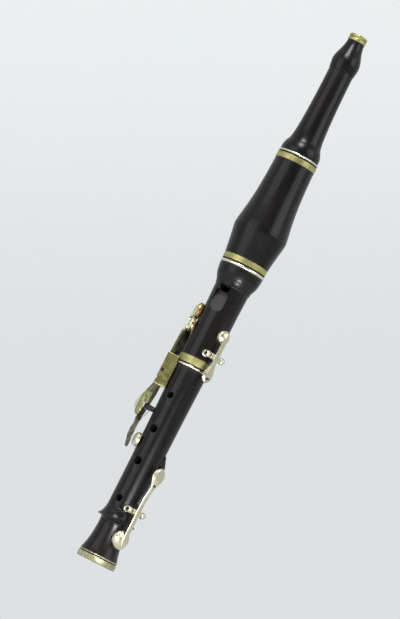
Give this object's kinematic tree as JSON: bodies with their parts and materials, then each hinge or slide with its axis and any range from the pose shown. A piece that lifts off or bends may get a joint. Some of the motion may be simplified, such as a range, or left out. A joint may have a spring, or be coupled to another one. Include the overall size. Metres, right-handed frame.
{
  "type": "keyed flageolet",
  "caption": "Upright keyed flageolet: turned dark wood joints with a windcap and beaked mouthpiece, brass rings, and sprung metal keys on ball posts and a saddle",
  "frame": {"origin": "centre of the bore at the foot ring's end face, at the foot of the part's own bounding box", "axes": "+Z along the bore to the mouthpiece, -Y to the front where the finger holes are, +X to the side of the lowest key"},
  "size_m": [0.0424, 0.0384, 0.4001],
  "materials": {
    "dark_wood": "turned and oiled, satin",
    "pale_wood": "planed, bare",
    "aged_brass": "worn and lightly scratched, satin",
    "bright_ring": "turned and polished",
    "nickel_silver": "hand filed and polished, slightly tarnished",
    "dark_steel": "blued, worn",
    "spring_steel": "hardened, dull",
    "red_leather": "soft, matt",
    "waxed_thread": "wound and waxed",
    "sponge": "open pored, dry"
  },
  "bodies": {
    "lower_joint": {"foot_ring": "aged_brass", "lower_joint": "dark_wood", "lower_joint_ring": "bright_ring", "lower_joint_lapping": "waxed_thread", "low_key_screw": "dark_steel", "low_key_left_post": "nickel_silver", "low_key_right_post": "nickel_silver", "cross_key_screw": "dark_steel", "cross_key_lower_post": "nickel_silver", "cross_key_upper_post": "nickel_silver", "saddle": "aged_brass", "saddle_lower_screw": "dark_steel", "saddle_upper_screw": "dark_steel", "saddle_key_screw": "dark_steel", "long_key_screw": "dark_steel", "long_key_post": "nickel_silver"},
    "head": {"head_socket_ferrule": "aged_brass", "head_joint": "dark_wood", "windway_block": "pale_wood", "head_shoulder_ring": "bright_ring", "head_lapping": "waxed_thread", "upper_key_screw": "dark_steel", "upper_key_left_post": "nickel_silver", "upper_key_right_post": "nickel_silver"},
    "windcap": {"windcap_lower_ferrule": "aged_brass", "windcap_barrel": "dark_wood", "windcap_upper_ferrule": "aged_brass", "sponge": "sponge"},
    "mouthpiece": {"mouthpiece_ring": "bright_ring", "mouthpiece": "dark_wood", "mouthpiece_tip_ring": "bright_ring", "mouthpiece_lapping": "waxed_thread"},
    "low_key": {"low_key": "nickel_silver", "low_key_pad": "red_leather", "low_key_spring": "spring_steel", "low_key_rivet": "dark_steel"},
    "upper_key": {"upper_key": "nickel_silver", "upper_key_pad": "red_leather", "upper_key_spring": "spring_steel", "upper_key_rivet": "dark_steel"},
    "cross_key": {"cross_key": "nickel_silver", "cross_key_pad": "red_leather", "cross_key_spring": "spring_steel", "cross_key_rivet": "dark_steel"},
    "saddle_key": {"saddle_key": "nickel_silver", "saddle_key_pad": "red_leather", "saddle_key_spring": "spring_steel", "saddle_key_rivet": "dark_steel"},
    "long_key": {"long_key": "nickel_silver", "long_key_pad": "red_leather", "long_key_spring": "spring_steel", "long_key_rivet": "dark_steel"}
  },
  "joints": [
    {"name": "head_slide", "type": "slide", "parent": "lower_joint", "child": "head", "axis": [0, 0, 1], "range_m": [0, 0.02]},
    {"name": "windcap_slide", "type": "slide", "parent": "head", "child": "windcap", "axis": [0, 0, 1], "range_m": [0, 0.0165]},
    {"name": "mouthpiece_slide", "type": "slide", "parent": "windcap", "child": "mouthpiece", "axis": [0, 0, 1], "range_m": [0, 0.0135]},
    {"name": "low_key_hinge", "type": "hinge", "parent": "lower_joint", "child": "low_key", "pos_m": [0.01298, -0.00372, 0.0418], "axis": [-0.2756, -0.9613, 0], "range_deg": [0, 6.5], "stiffness_Nm_per_rad": 0.04, "springref_deg": -14.32},
    {"name": "upper_key_hinge", "type": "hinge", "parent": "head", "child": "upper_key", "pos_m": [0.01381, -0.00409, 0.1582], "axis": [0.284, 0.9588, 0], "range_deg": [0, 7], "stiffness_Nm_per_rad": 0.04, "springref_deg": -14.32},
    {"name": "saddle_key_hinge", "type": "hinge", "parent": "lower_joint", "child": "saddle_key", "pos_m": [-0.01449, -0.00974, 0.1358], "axis": [0.4067, -0.9135, 0], "range_deg": [0, 3.5], "stiffness_Nm_per_rad": 0.04, "springref_deg": -14.32},
    {"name": "long_key_hinge", "type": "hinge", "parent": "lower_joint", "child": "long_key", "pos_m": [-0.01602, -0.00385, 0.1094], "axis": [0.4067, -0.9135, 0], "range_deg": [0, 2], "stiffness_Nm_per_rad": 0.04, "springref_deg": -14.32},
    {"name": "cross_key_hinge", "type": "hinge", "parent": "lower_joint", "child": "cross_key", "pos_m": [-0.01261, 0.00509, 0.0864], "axis": [0, 0, -1], "range_deg": [0, 5], "stiffness_Nm_per_rad": 0.04, "springref_deg": -14.32}
  ]
}
